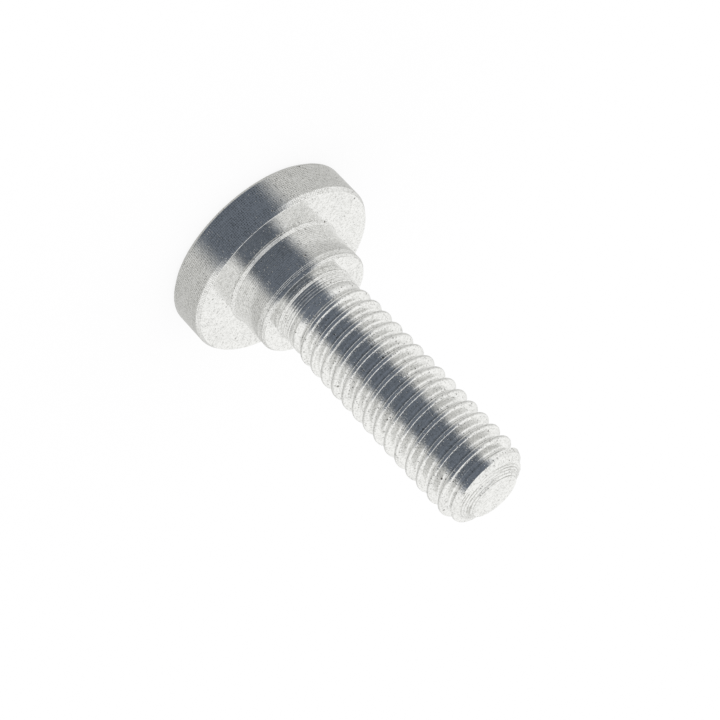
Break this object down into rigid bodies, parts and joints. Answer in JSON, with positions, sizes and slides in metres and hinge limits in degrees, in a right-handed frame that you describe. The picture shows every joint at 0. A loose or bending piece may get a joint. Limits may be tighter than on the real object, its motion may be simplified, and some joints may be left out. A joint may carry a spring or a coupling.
{
  "type": "shoulder bolt",
  "caption": "Shoulder bolt: a wide round head, a short plain shoulder and a right-hand metric thread with a blunt conical tip.",
  "frame": {"origin": "centre of the head's outer face, on which the bolt stands", "axes": "+Z along the bolt's axis, from the head to the thread's tip; +X and +Y are any two square directions across it"},
  "size_m": [0.013, 0.013, 0.0226],
  "materials": {
    "zinc_steel": "turned steel with a bright, slightly satin zinc plate"
  },
  "bodies": {
    "root": {"bolt": "zinc_steel"}
  },
  "joints": []
}
